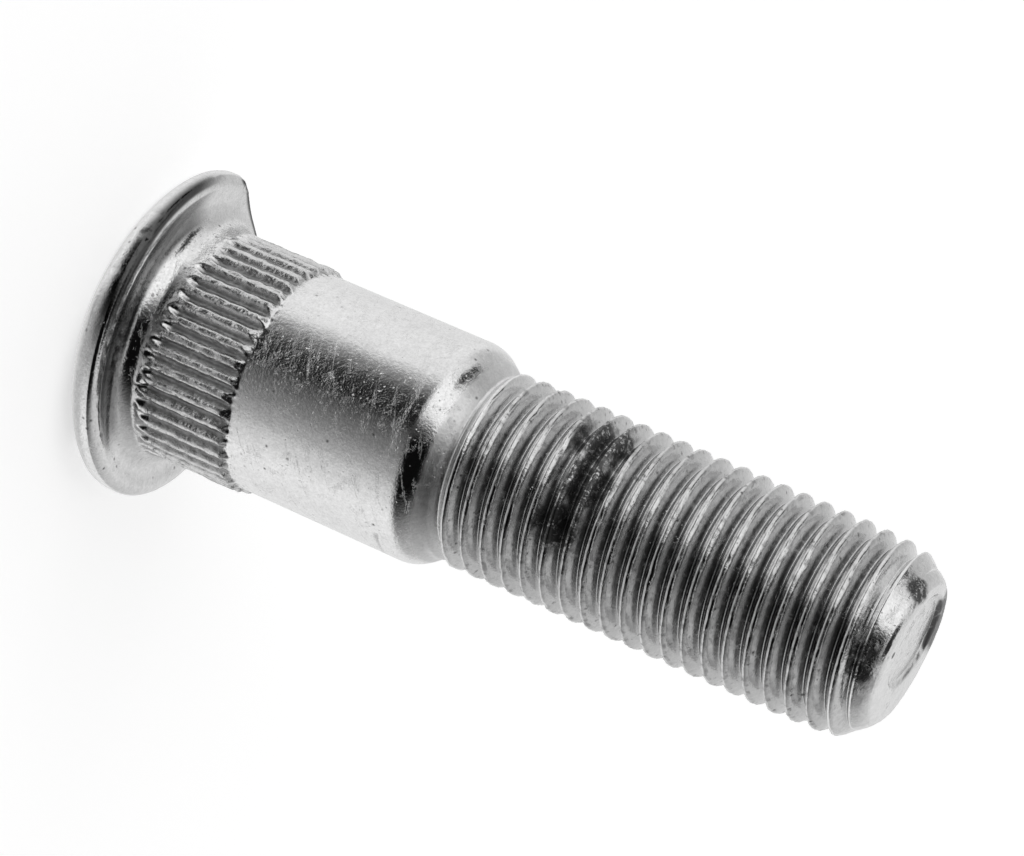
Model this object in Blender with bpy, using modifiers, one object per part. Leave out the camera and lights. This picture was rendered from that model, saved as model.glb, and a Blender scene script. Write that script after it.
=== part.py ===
"""Wheel stud, one forged and rolled piece of steel: a round head with one flat side,
a press-fit serration, a plain shank, a rounded shoulder and a right-hand rolled thread.
It stands on its head, with +Z along the stud from the head's back to its tip.
Sizes are in metres and angles in degrees."""

import math

import bmesh
import bpy
from mathutils import Matrix

# Head: a thin round flange with rounded edges and one flat side
HEAD_DIAMETER = 0.0238
RIM_BACK_ROUND = 0.0011
RIM_LAND = 0.0002
RIM_FRONT_ROUND = 0.0009
HEAD_FLAT_DEPTH = 0.00215
HEAD_FLAT_ANGLE = 180.0
HEAD_FILLET = 0.0016

# Press-fit serration under the head
TOOTH_COUNT = 44
TOOTH_HEIGHT = 0.0004
TOOTH_ROOT_RISE = 0.00005
GROOVE_ANGLE = 100.0
SERRATION_LENGTH = 0.0061
SERRATION_TAPER = 0.0016
GROOVE_END_SLOPE = 0.0006

# Plain shank, its shoulder down to the thread's crests and the neck before the thread
SHANK_LENGTH = 0.0119
SHOULDER_HEIGHT = 0.000955
SHOULDER_ROUND = 0.0026
SHOULDER_ANGLE = 39.0
NECK_RELIEF = 0.00036
NECK_FILLET = 0.0004
NECK_LENGTH = 0.0002

# Rolled thread, right-hand
THREAD_DIAMETER = 0.01394
THREAD_PITCH = 0.0015
THREAD_LENGTH = 0.03208
THREAD_DEPTH_SHARE = 0.6134
THREAD_FLANK_ANGLE = 30.0
THREAD_CREST_SHARE = 0.125
THREAD_START_ANGLE = 5.6
RUN_OUT_LENGTH = 0.0018
RUN_OUT_ANGLE = 30.0

# Tip: a chamfer, an end face that leans, a shallow cup in it and a bevel on its low side
TIP_DIAMETER = 0.00988
TIP_CHAMFER_ANGLE = 36.5
TIP_LEAN = 4.1
TIP_LOW_SIDE_ANGLE = 52.6
TIP_CUP_DIAMETER = 0.0072
TIP_CUP_DEPTH = 0.0003
TIP_BEVEL_RADIUS = 0.0051
TIP_BEVEL_SLOPE = 43.0
TIP_BEVEL_ANGLE = 41.0

# Shares of a corner's height that its rounds may take at most
SHOULDER_ROUND_SHARE = 0.6
NECK_FILLET_SHARE = 0.2

# Facets. Two go to each tooth, so that all the teeth are alike
TURN_STEPS = 2 * TOOTH_COUNT
THREAD_STEPS = 32
ARC_STEPS = 3
NECK_ARC_STEPS = 2
CUP_STEPS = 3
SHARP_ANGLE = 32.0

# Cutters and joints
WELD_DISTANCE = 0.000001
CUTTER_MARGIN = 0.002
CORE_INSET = 0.0003
GROOVE_CUTTER_RISE = 0.0001

STEEL_COLOUR = (0.72, 0.725, 0.73, 1.0)
STEEL_ROUGHNESS = 0.3

# Radii that follow from the sizes above
HEAD_RADIUS = HEAD_DIAMETER / 2
CREST_RADIUS = THREAD_DIAMETER / 2
ROOT_RADIUS = CREST_RADIUS - THREAD_DEPTH_SHARE * THREAD_PITCH
CORE_RADIUS = ROOT_RADIUS - CORE_INSET
NECK_RADIUS = CREST_RADIUS - NECK_RELIEF
SHANK_RADIUS = CREST_RADIUS + SHOULDER_HEIGHT
SERRATION_RADIUS = SHANK_RADIUS + TOOTH_HEIGHT
TOOTH_ROOT_RADIUS = SHANK_RADIUS + TOOTH_ROOT_RISE
TIP_RADIUS = TIP_DIAMETER / 2
HEAD_OVERHANG = HEAD_RADIUS - SERRATION_RADIUS
FRONT_ROUND = min(RIM_FRONT_ROUND, HEAD_OVERHANG / 3)
FILLET = min(HEAD_FILLET, HEAD_OVERHANG / 2)

# Levels along the head, the serration and the shank, from the head's back
SEAT_LEVEL = RIM_BACK_ROUND + RIM_LAND + FRONT_ROUND
FILLET_TOP = SEAT_LEVEL + FILLET
SERRATION_TOP = FILLET_TOP + SERRATION_LENGTH
TAPER_TOP = SERRATION_TOP + SERRATION_TAPER
SHOULDER_START = TAPER_TOP + SHANK_LENGTH

# The shoulder: a round, a cone and a fillet, one after the other
SHOULDER_SLOPE = math.radians(SHOULDER_ANGLE)
SHOULDER_DROP = SHANK_RADIUS - NECK_RADIUS
ARC_FALL = 1 - math.cos(SHOULDER_SLOPE)
SHOULDER_ARC = min(SHOULDER_ROUND, SHOULDER_ROUND_SHARE * SHOULDER_DROP / ARC_FALL)
NECK_ARC = min(NECK_FILLET, NECK_FILLET_SHARE * SHOULDER_DROP / ARC_FALL)
CONE_DROP = SHOULDER_DROP - (SHOULDER_ARC + NECK_ARC) * ARC_FALL
ARC_SPAN = (SHOULDER_ARC + NECK_ARC) * math.sin(SHOULDER_SLOPE)
NECK_START = SHOULDER_START + ARC_SPAN + CONE_DROP / math.tan(SHOULDER_SLOPE)

# The thread, which is rolled as a rod that runs on past the tip until it is cut
THREAD_START = NECK_START + NECK_LENGTH
TIP_LEVEL = THREAD_START + THREAD_LENGTH
FADE_START = THREAD_START - RUN_OUT_LENGTH / 2
ROD_START = FADE_START - THREAD_PITCH / 4
ROD_TURNS = math.ceil((TIP_LEVEL - ROD_START) / THREAD_PITCH) + 1
ROD_END = ROD_START + (ROD_TURNS + 1) * THREAD_PITCH

# The tip's leaning face: its level on the axis and where its bevel starts
FACE_SLOPE = math.tan(math.radians(TIP_LEAN))
FACE_LEVEL = TIP_LEVEL - TIP_RADIUS * FACE_SLOPE
BEVEL_ASIDE = math.cos(math.radians(TIP_BEVEL_ANGLE - TIP_LOW_SIDE_ANGLE))
BEVEL_LEVEL = FACE_LEVEL - TIP_BEVEL_RADIUS * FACE_SLOPE * BEVEL_ASIDE


def arc(centre_radius, centre_level, radius, first, last, steps=ARC_STEPS):
    """Profile points on an arc, with its angles in degrees from the outward direction towards the tip."""
    points = []
    for step in range(steps + 1):
        angle = math.radians(first + (last - first) * step / steps)
        points.append(
            (centre_radius + radius * math.cos(angle), centre_level + radius * math.sin(angle))
        )
    return points


def turned_object(name, profile, steps=TURN_STEPS):
    """A closed solid of revolution from (radius, level) points that run down its outer side."""
    mesh = bpy.data.meshes.new(name)
    edges = [(i, i + 1) for i in range(len(profile) - 1)]
    mesh.from_pydata([(radius, 0, level) for radius, level in profile], edges, [])
    obj = bpy.data.objects.new(name, mesh)
    screw = obj.modifiers.new("turn", "SCREW")
    screw.axis = "Z"
    screw.angle = math.radians(360)
    screw.steps = steps
    screw.render_steps = steps
    screw.use_merge_vertices = True
    screw.merge_threshold = WELD_DISTANCE
    return obj


def forged_profile():
    """The stud without its thread, from a cone inside the thread's start down to the head's back."""
    core_top = THREAD_START + (NECK_RADIUS - CORE_RADIUS) / math.tan(math.radians(RUN_OUT_ANGLE))
    slope = SHOULDER_ANGLE
    profile = [(0, core_top), (CORE_RADIUS, core_top), (NECK_RADIUS, THREAD_START)]
    profile += arc(NECK_RADIUS + NECK_ARC, NECK_START, NECK_ARC, 180, 180 + slope, NECK_ARC_STEPS)
    profile += arc(SHANK_RADIUS - SHOULDER_ARC, SHOULDER_START, SHOULDER_ARC, slope, 0)
    profile += [(SHANK_RADIUS, TAPER_TOP), (SERRATION_RADIUS, SERRATION_TOP)]
    profile += arc(SERRATION_RADIUS + FILLET, FILLET_TOP, FILLET, 180, 270)
    profile += arc(HEAD_RADIUS - FRONT_ROUND, SEAT_LEVEL - FRONT_ROUND, FRONT_ROUND, 90, 0)
    profile += arc(HEAD_RADIUS - RIM_BACK_ROUND, RIM_BACK_ROUND, RIM_BACK_ROUND, 0, -90)
    profile.append((0, 0))
    return profile


def thread_profile():
    """One pitch of the thread, from a flank's foot down to the same foot one pitch lower."""
    crest = THREAD_CREST_SHARE * THREAD_PITCH
    flank = (CREST_RADIUS - ROOT_RADIUS) * math.tan(math.radians(THREAD_FLANK_ANGLE))
    top = ROD_START + THREAD_PITCH
    return [
        (ROOT_RADIUS, top),
        (CREST_RADIUS, top - flank),
        (CREST_RADIUS, top - flank - crest),
        (ROOT_RADIUS, top - flank - crest - flank),
        (ROOT_RADIUS, ROD_START),
    ]


def helical_object(name, profile):
    """The profile's helix, one pitch higher with each turn, still open at both ends."""
    rod = turned_object(name, profile, THREAD_STEPS)
    screw = rod.modifiers["turn"]
    screw.use_merge_vertices = False
    screw.screw_offset = THREAD_PITCH
    screw.iterations = ROD_TURNS
    bpy.context.scene.collection.objects.link(rod)
    rod.data = evaluated_mesh(rod)
    rod.modifiers.clear()
    bpy.context.scene.collection.objects.unlink(rod)
    return rod


def cap_open_end(bm, edges, level):
    """Closes a ring of open edges with a fan to a point on the axis."""
    centre = bm.verts.new((0, 0, level))
    for edge in edges:
        first, second = edge.verts
        bm.faces.new((first, second, centre))


def fade_thread(bm):
    """Lowers the crests to the root where the thread starts, as rolling dies run out."""
    for vert in bm.verts:
        radius = math.hypot(vert.co.x, vert.co.y)
        if radius < ROOT_RADIUS:
            continue
        share = min(max((vert.co.z - FADE_START) / RUN_OUT_LENGTH, 0), 1)
        scale = (ROOT_RADIUS + (radius - ROOT_RADIUS) * share) / radius
        vert.co.x *= scale
        vert.co.y *= scale


def threaded_rod():
    """The thread as a closed helical rod. It starts inside the neck and ends past the tip."""
    rod = helical_object("thread_rod", thread_profile())
    bm = bmesh.new()
    bm.from_mesh(rod.data)
    bmesh.ops.remove_doubles(bm, verts=bm.verts, dist=WELD_DISTANCE)
    open_edges = [edge for edge in bm.edges if edge.is_boundary]
    halfway = (ROD_START + ROD_END) / 2
    lower = [edge for edge in open_edges if edge.verts[0].co.z < halfway]
    upper = [edge for edge in open_edges if edge.verts[0].co.z > halfway]
    cap_open_end(bm, lower, ROD_START + THREAD_PITCH / 2)
    cap_open_end(bm, upper, ROD_END - THREAD_PITCH / 2)
    fade_thread(bm)
    turn = Matrix.Rotation(math.radians(THREAD_START_ANGLE), 3, "Z")
    bmesh.ops.rotate(bm, verts=bm.verts, matrix=turn)
    bmesh.ops.recalc_face_normals(bm, faces=bm.faces)
    bm.to_mesh(rod.data)
    bm.free()
    return rod


def chamfer_cutter():
    """A turned cutter that leaves the tip's chamfer."""
    outside = CREST_RADIUS + CUTTER_MARGIN
    chamfer_fall = (outside - TIP_RADIUS) / math.tan(math.radians(TIP_CHAMFER_ANGLE))
    above = ROD_END + CUTTER_MARGIN
    profile = [(0, above), (outside, above)]
    profile += [(outside, TIP_LEVEL - chamfer_fall), (TIP_RADIUS, TIP_LEVEL), (0, TIP_LEVEL)]
    return turned_object("chamfer_cutter", profile)


def face_cutter():
    """A turned cutter, leaned over, that leaves the end face and the cup in it."""
    outside = CREST_RADIUS + CUTTER_MARGIN
    cup_radius = TIP_CUP_DIAMETER / 2
    sphere = (cup_radius**2 + TIP_CUP_DEPTH**2) / (2 * TIP_CUP_DEPTH)
    half_angle = math.degrees(math.asin(cup_radius / sphere))
    above = outside + CUTTER_MARGIN
    profile = [(0, above), (outside, above), (outside, 0)]
    profile += arc(0, sphere - TIP_CUP_DEPTH, sphere, -90 + half_angle, -90, CUP_STEPS)
    cutter = turned_object("face_cutter", profile)
    low_side = Matrix.Rotation(math.radians(TIP_LOW_SIDE_ANGLE), 4, "Z")
    lean = Matrix.Rotation(math.radians(TIP_LEAN), 4, "Y")
    cutter.matrix_world = Matrix.Translation((0, 0, FACE_LEVEL)) @ low_side @ lean
    return cutter


def bevel_cutter():
    """A block that bevels the end face's edge on its low side."""
    slope = math.radians(TIP_BEVEL_SLOPE)
    turn = Matrix.Rotation(math.radians(TIP_BEVEL_ANGLE), 4, "Z")
    tilt = Matrix.Rotation(math.pi / 2 - slope, 4, "Y")
    size = 2 * THREAD_DIAMETER
    bm = bmesh.new()
    bmesh.ops.create_cube(bm, size=size)
    bmesh.ops.translate(bm, verts=bm.verts, vec=(0, 0, size / 2))
    place = turn @ Matrix.Translation((TIP_BEVEL_RADIUS, 0, BEVEL_LEVEL)) @ tilt
    bmesh.ops.transform(bm, matrix=place, verts=bm.verts)
    return object_from(bm, "bevel_cutter")


def flat_cutter():
    """A block that takes the flat side off the head."""
    depth = HEAD_FLAT_DEPTH + CUTTER_MARGIN
    height = FILLET_TOP + CUTTER_MARGIN
    out = HEAD_RADIUS - HEAD_FLAT_DEPTH + depth / 2
    turn = Matrix.Rotation(math.radians(HEAD_FLAT_ANGLE), 3, "Z")
    bm = bmesh.new()
    bmesh.ops.create_cube(bm, size=1)
    bmesh.ops.scale(bm, verts=bm.verts, vec=(depth, 2 * HEAD_DIAMETER, height))
    bmesh.ops.translate(bm, verts=bm.verts, vec=(out, 0, FILLET_TOP - height / 2))
    bmesh.ops.rotate(bm, verts=bm.verts, matrix=turn)
    return object_from(bm, "head_flat_cutter")


def add_groove_bar(bm, turn):
    """A V-shaped bar along one groove. It slopes out of the metal at the fillet."""
    outside = SERRATION_RADIUS + GROOVE_CUTTER_RISE
    half_width = (outside - TOOTH_ROOT_RADIUS) * math.tan(math.radians(GROOVE_ANGLE / 2))
    bar = bmesh.ops.create_cone(bm, cap_ends=True, segments=3, radius1=1, radius2=1, depth=1)
    for vert in bar["verts"]:
        at_root = math.isclose(vert.co.x, 0, abs_tol=WELD_DISTANCE)
        at_head = vert.co.z < 0
        if at_root:
            level = FILLET_TOP if at_head else TAPER_TOP + CUTTER_MARGIN
            vert.co = (TOOTH_ROOT_RADIUS, 0, level)
        else:
            level = FILLET_TOP - GROOVE_END_SLOPE if at_head else TAPER_TOP + CUTTER_MARGIN
            vert.co = (outside, math.copysign(half_width, vert.co.x), level)
    bmesh.ops.rotate(bm, verts=bar["verts"], matrix=Matrix.Rotation(turn, 3, "Z"))


def groove_cutters():
    """The bars for all the grooves between the teeth, as one cutter."""
    bm = bmesh.new()
    for tooth in range(TOOTH_COUNT):
        add_groove_bar(bm, math.radians(360 * (tooth + 1 / 2) / TOOTH_COUNT))
    bmesh.ops.recalc_face_normals(bm, faces=bm.faces)
    return object_from(bm, "groove_cutters")


def object_from(bm, name):
    """A new object with the mesh that was built in bm."""
    mesh = bpy.data.meshes.new(name)
    bm.to_mesh(mesh)
    bm.free()
    return bpy.data.objects.new(name, mesh)


def evaluated_mesh(obj):
    """The object's mesh with its modifiers worked out."""
    bpy.context.view_layer.update()
    graph = bpy.context.evaluated_depsgraph_get()
    return bpy.data.meshes.new_from_object(obj.evaluated_get(graph))


def steel_material():
    """Bright zinc-plated steel."""
    material = bpy.data.materials.new("zinc_plated_steel")
    material.use_nodes = True
    shader = material.node_tree.nodes["Principled BSDF"]
    shader.inputs["Base Color"].default_value = STEEL_COLOUR
    shader.inputs["Metallic"].default_value = 1
    shader.inputs["Roughness"].default_value = STEEL_ROUGHNESS
    return material


def clear_scene():
    """Removes what is in the scene at the start."""
    for obj in list(bpy.data.objects):
        bpy.data.objects.remove(obj, do_unlink=True)


def new_collection(name):
    """A collection of its own in the scene."""
    collection = bpy.data.collections.new(name)
    bpy.context.scene.collection.children.link(collection)
    return collection


def build_stud():
    """The forged blank, with its thread joined on and its tip, flat side and grooves cut."""
    parts = new_collection("wheel_stud")
    cutters = new_collection("cutters")
    stud = turned_object("wheel_stud_body", forged_profile())
    parts.objects.link(stud)
    for helper, operation in (
        (threaded_rod(), "UNION"),
        (chamfer_cutter(), "DIFFERENCE"),
        (face_cutter(), "DIFFERENCE"),
        (bevel_cutter(), "DIFFERENCE"),
        (flat_cutter(), "DIFFERENCE"),
        (groove_cutters(), "DIFFERENCE"),
    ):
        cutters.objects.link(helper)
        helper.hide_render = True
        helper.display_type = "WIRE"
        boolean = stud.modifiers.new(helper.name, "BOOLEAN")
        boolean.operation = operation
        boolean.object = helper
    stud.data = evaluated_mesh(stud)
    stud.modifiers.clear()
    stud.data.materials.clear()
    stud.data.materials.append(steel_material())
    stud.data.shade_smooth()
    stud.data.set_sharp_from_angle(angle=math.radians(SHARP_ANGLE))


clear_scene()
build_stud()
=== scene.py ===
"""Wheel stud: its fine shapes, its finish and the studio round it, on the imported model's frame.
The stud's own sizes are in millimetres and its angles in degrees; the scene is in metres."""

import math

import bmesh
import bpy
import numpy as np
from mathutils import Matrix, Vector, noise


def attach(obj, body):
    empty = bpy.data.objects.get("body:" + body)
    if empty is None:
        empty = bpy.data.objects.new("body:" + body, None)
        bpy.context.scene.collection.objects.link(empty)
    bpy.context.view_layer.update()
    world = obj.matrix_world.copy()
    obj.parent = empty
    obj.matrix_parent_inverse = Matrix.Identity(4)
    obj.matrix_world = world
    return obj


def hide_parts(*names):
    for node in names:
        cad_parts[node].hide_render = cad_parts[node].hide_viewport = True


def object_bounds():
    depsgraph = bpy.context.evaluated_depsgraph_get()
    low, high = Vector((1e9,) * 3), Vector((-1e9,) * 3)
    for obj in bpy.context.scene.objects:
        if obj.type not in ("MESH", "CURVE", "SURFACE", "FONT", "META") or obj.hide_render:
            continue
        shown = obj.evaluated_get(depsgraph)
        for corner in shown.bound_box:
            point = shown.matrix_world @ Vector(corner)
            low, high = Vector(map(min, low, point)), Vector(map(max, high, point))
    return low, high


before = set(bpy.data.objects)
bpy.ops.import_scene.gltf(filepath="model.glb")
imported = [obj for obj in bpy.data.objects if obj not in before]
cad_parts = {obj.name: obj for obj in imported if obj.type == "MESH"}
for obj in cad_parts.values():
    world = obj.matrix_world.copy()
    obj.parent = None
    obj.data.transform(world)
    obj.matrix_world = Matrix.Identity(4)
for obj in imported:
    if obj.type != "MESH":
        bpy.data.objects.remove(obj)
cad_low, cad_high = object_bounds()

MM = 0.001
SEED = 7

# Overall sizes, from the frame
TIP_LEVEL = cad_high.z / MM
HEAD_RADIUS = cad_high.x / MM
HEAD_FLAT = -cad_low.x / MM

# The sides of the stud that the photograph shows in its middle and at its lower edge
NEAR_ANGLE = -60.4
DOWN_ANGLE = 29.6

# Head: the rim's rounds and the flat side's softened edges
BACK_ROUND = 1.3
BACK_ROUND_REACH = 1.7
LOW_SIDE_REACH = 0.6
FRONT_ROUND = 0.5
FRONT_ROUND_REACH = 0.9
RIM_OUT_OF_ROUND = 0.14
FLAT_EDGE_ROUND = 0.12
FLAT_CORNER = 0.08
FLAT_BLEND = 0.3
# The width of the painted shadow along the front edge of the flat side
FLAT_SHADE_WIDTH = 0.4

# Head: the land, the fillet inside it, and the rise and the lip on the land's outer part
SEAT_LEVEL = 2.2
FILLET = 1.6
FILLET_TOP = SEAT_LEVEL + FILLET
LAND_RISE = 0.2
LAND_RISE_START = 9.9
LIP_RADIUS = 11.0
LIP_WIDTH = 0.12
LIP_REACH = 4 * LIP_WIDTH
LIP_HEIGHT = 0.07
LIP_EVENNESS = 0.5
LIP_WAVE = 0.9
LIP_RIPPLE = 0.5
LIP_MOST = 1.2

# Head: how much it leans, and between which levels the lean sets in and dies out
HEAD_LEAN = 0.0425
LOW_SIDE_LEAN = 0.046
LEAN_START = (0.3, 1.6)
LOW_SIDE_LEAN_START = (0, 0.35)
LEAN_END = (2.4, 4.2)

# Serration: its teeth, the grooves between them and their burrs
TOOTH_COUNT = 44
SERRATION_RADIUS = 8.29
FILLET_FOOT = SERRATION_RADIUS + FILLET
TOOTH_ANGLE = -0.8
TOOTH_CREST_SHARE = 0.3
GROOVE_DEPTH = 0.36
GROOVE_START = 3.75
GROOVE_START_CLIMB = 0.6
GROOVE_RAMP = 0.8
# How strongly painted shade darkens the grooves, in step with how deeply they are pressed
GROOVE_SHADE = 0.6
BURR_HEIGHT = 0.02
BURR_PLACE = 1.1
BURR_WIDTH = 0.16
BURR_EVENNESS = 0.6
BURR_MOST = 1.5
FOOT_TAPER = 0.26
FOOT_LENGTH = 1.5

# Serration: its end, and how far past the end its crests and its roughness go
SERRATION_END = 10.9
SERRATION_FALL = 0.45
END_EASE = 0.1
CRESTS_END = 0.2
ROUGHNESS_END = 0.3
BLANK_LEVEL = 11.6

# Serration: how much the teeth differ, as random ranges and as shares of the noise
END_SPREAD = (-0.1, 0.1)
BLANK_SPREAD = (-0.04, 0.02)
START_SPREAD = (-0.25, 0.25)
CREST_SPREAD = (-0.06, 0.08)
END_WAVE = 0.25
CREST_WAVE = 0.08
GROOVE_ROUGHNESS = 0.045
TOOTH_ROUGHNESS = 0.08
ROUGHNESS_STRETCH = (1, 1, 0.45)

# Shank, shoulder and neck
SHANK_RADIUS = 7.925
SHOULDER_START = 23.4
SHOULDER_ROUND = 2.6
SHOULDER_ANGLE = 39.0
SHOULDER_LEAN = 0.015
NECK_RADIUS = 6.61
NECK_BLEND = 0.2

# Thread: right-hand, with a crest at CREST_LEVEL above the +X side
PITCH = 1.5
CREST_RADIUS = 6.93
THREAD_DEPTH = 0.92
FLANK_ANGLE = 30.0
CREST_FLAT = 0.26
CREST_ROUND = 0.12
CREST_TILT = 0.32
ROOT_ROUND = 0.06
CREST_LEVEL = 28.864
THREAD_START = 26.286
RUN_OUT = 1.8
LAST_CRESTS = 52.0
LAST_CRESTS_FALL = 0.05
CREST_ROUGHNESS = 0.03

# Thread: the dirt and painted shade low on its hidden flank, the dirt specks on its crests and the
# levels where both end
ROOT_DIRT_AND_SHADE_LINE = -0.61
ROOT_DIRT_AND_SHADE_WIDTH = 0.12
CREST_DIRT = 0.5
SPECK_GAIN = 2
SPECK_LIFT = 0.2
UNDARKENED_TIP = (TIP_LEVEL - 3.4, TIP_LEVEL - 2.4)

# Nicks in the thread's crests and in the head's rim
NICK_COUNT = 70
NICK_DEPTHS = (0.04, 0.13)
NICK_SIZES = (0.18, 0.45)
NICK_LEVELS = (THREAD_START, TIP_LEVEL - 2)
RIM_NICK_COUNT = 14
RIM_NICK_DEPTH = 0.08
RIM_NICK_LEVELS = (0.3, SEAT_LEVEL)

# Tip: a chamfer, an end face that leans and a bevel on its low side
CHAMFER_LEVEL = 58.55
CHAMFER_RADIUS = 4.95
CHAMFER_OFFSET = 0.064
CHAMFER_SLOPE = 0.74
FACE_LEVEL = 58.045
FACE_SLOPE = 0.072
LOW_SIDE_ANGLE = 52.6
BEVEL_RADIUS = 5.4
BEVEL_SLOPE = 41.26
BEVEL_ANGLE = 41.5
TIP_BLEND = 0.08
BEVEL_BLEND = 0.77
EDGE_ROUND = 0.31
EDGE_DROP = 0.25

# Tip: the cup a little off the axis, and the painted shade along its far edge
CUP_RADIUS = 3.5
CUP_OFFSET = 0.95
CUP_WALL = 0.45
CUP_DEPTH = 0.28
CUP_SHADE_DEPTH = 0.4
CUP_SHADE_WIDTHS = (0.5, 0.25)
CUP_SHADE_STRENGTHS = (2.2, 0.6)
CUP_SHADE_FAR = (0.5, 2.5)
CUP_SHADE_LOW = (-2.0, 0.5)
CUP_SHADE_REACH = 1.0

# Noise on the mesh: the size of its features and its seed
GRAIN_STEP = (17.3, 5.1, 9.7)
TOOTH_WAVES = (0.7, 1)
TOOTH_RIPPLES = (0.3, 2)
LIP_WAVES = (0.8, 4)
LIP_RIPPLES = (0.25, 5)
CREST_WAVES = (0.35, 6)
CREST_RIPPLES = (0.15, 8)
CREST_SPECKS = (0.4, 9)

# Mesh density, head and serration
FINE_COLUMNS = 480
BACK_SHARES = (0.5, 0.93)
BACK_ROUND_ROWS = 7
FRONT_ROUND_ROWS = 9
FILLET_ROWS = 15
SERRATION_ROWS = 44

# Mesh density, shank and thread. The thread's rows follow its helix: their levels within a turn,
# the level where they start and how far past the end face's edge they run
COLUMNS = FINE_COLUMNS // 3
SHANK_ROWS = 22
CREST_ROWS = (0, 0.1, 0.19, 0.25, 0.5, 0.66, 0.72, 0.78, 0.85, 0.92, 1.05, 1.25, 1.35)
HELIX_FOOT = 22.877
FACE_RUN = 4.8
HELIX_TURNS = math.ceil((TIP_LEVEL + FACE_RUN - HELIX_FOOT) / PITCH)

# Guards that keep divisions away from zero and the end face's rows off its very middle
FLAT_LEAST_COSINE = 0.01
BEVEL_LEAST_COSINE = 0.02
LEAST_RADIUS = 1
FACE_CENTRE_SHARE = 0.01

# Points closer than this many metres are joined
JOIN_DISTANCE = 1e-8

# Steel, noise: its features to a millimetre, its detail and its roughness
NOISES = {
    "cloud": (0.3, 4.0, 0.5),
    "mottle": (2.2, 4.0, 0.6),
    "fine": (6.0, 3.0, 0.6),
    "ripple": (0.8, 1.0, 0.5),
    "peening": (3.4, 2.0, 0.5),
}
HAIRLINE_NOISE = (1.0, 1.0, 0.5)
HAIRLINE_PLACES = (0.9, 1.0, 0.5)
BLOT_NOISE = (1.4, 3.0, 0.5)
NOISE_MIDDLE = 0.5

# Steel, hairlines: twist in radians to a millimetre, stretch, and share of the surface with them
HAIRLINES = (
    (0.09, (9, 9, 0.9), 0.42),
    (-0.3, (11, 11, 1.3), 0.4),
    (0.0, (1.2, 1.2, 11), 0.4),
)
HAIRLINE_WIDTH = 0.015
HAIRLINE_FADE = 0.06

# Steel, spots: how many to a millimetre, their size as a share of their spacing, and the levels
# of a pattern between which they set in
PITS = (3.4, 0.3, 0.53, 0.64)
SPECKS = (0.9, 0.16, 0.45, 0.55)
FLECKS = (1.1, 0.26, 0.45, 0.55)

# Steel, bands round the stud: the levels between which each sets in and dies out
TOOTHED = ((FILLET_TOP + 0.4, FILLET_TOP + 1.4), (SERRATION_END - 0.2, SERRATION_END + 0.2))
THREADED = ((THREAD_START, THREAD_START + 2 * PITCH), UNDARKENED_TIP)
DULL = ((24.9, 25.4), (THREAD_START - 0.2, THREAD_START + 0.6))

# Steel, the painted dark reflection on the near side of the head: where it lies and how much it
# darkens
PAINTED_REFLECTION_RADII = ((8.7, 9.0), (LIP_RADIUS - 0.3, LIP_RADIUS))
PAINTED_REFLECTION_TOP = (2.6, 2.9)
PAINTED_REFLECTION_NEAR = (3.6, 6.0)
PAINTED_REFLECTION_DARKNESS = 0.62
RIM_PAINTED_REFLECTION_RADII = (11.15, 11.4)
RIM_PAINTED_REFLECTION_LEVELS = (1.0, 1.8)
RIM_PAINTED_REFLECTION_ANGLE = NEAR_ANGLE - 30
RIM_PAINTED_REFLECTION_NEAR = (8.0, 10.6)
RIM_PAINTED_REFLECTION_DARKNESS = 0.88

# Steel, grime on the thread and the chamfer: radius, level, angle and size of each blot
BLOTS = (
    (6.9, 35.2, -107.0, 2.6), (6.9, 35.6, -77.0, 2.2), (6.9, 35.0, -47.0, 2.0),
    (5.5, 57.9, -107.0, 1.1), (6.0, 57.1, -51.0, 1.0), (6.1, 57.0, -39.0, 0.9),
    (4.0, 58.1, -54.0, 0.3),
)
BLOT_EDGE = (1.1, 1.6)
BLOT_GRIT = {"fine": 0.5, "mottle": 0.5}
BLOT_GRIT_EDGE = (0.38, 0.5)
# Where the mesh's dirt and painted shade sets in, and how much near-black grime and painted shade
# cover the tone
DIRT_AND_SHADE_EDGE = (0.1, 0.9)
DIRT_AND_SHADE_MOTTLE = (0.1, 0.5)
GRIME_AND_SHADE_COVER = 0.9
GRIME_AND_SHADE_TONE = 0.03

# Steel, its tone, roughness and relief: a plain level, and how much each pattern adds to it
TONE_LEVEL = 0.39
TONE = {"cloud": 0.1, "mottle": 0.24, "fine": 0.3, "hairlines": -0.05}
# The tone is darkened on the teeth, on the thread and by the painted dark reflection on the head's
# near side
SHADES = {"toothed": 0.15, "threaded": 0.16, "painted_reflection": 1.0}
ROUGH_LEVEL = 0.03
ROUGH = {"mottle": 0.1, "cloud": 0.04, "toothed": 0.12, "dull": 0.3, "grime_and_shade": 0.25}
RELIEF = {
    "ripple": 0.007,
    "peening": 0.009,
    "toothed_peening": 0.045,
    "fine": 0.013,
    "hairlines": -0.006,
    "pits": -0.025,
}

# Camera: the photograph's place and lens, found from the stud's outline and its crests. Its
# clipping is in metres
CAMERA_AIM = (-2.761, -1.621, 27.06)
CAMERA_DISTANCE = 242.9
CAMERA_AZIMUTH = 30.41
CAMERA_ELEVATION = 20.91
CAMERA_ROLL = 113.47
CAMERA_LENS = 127.96
CAMERA_CLIP_START = 0.01
CAMERA_CLIP_END = 20

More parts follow.
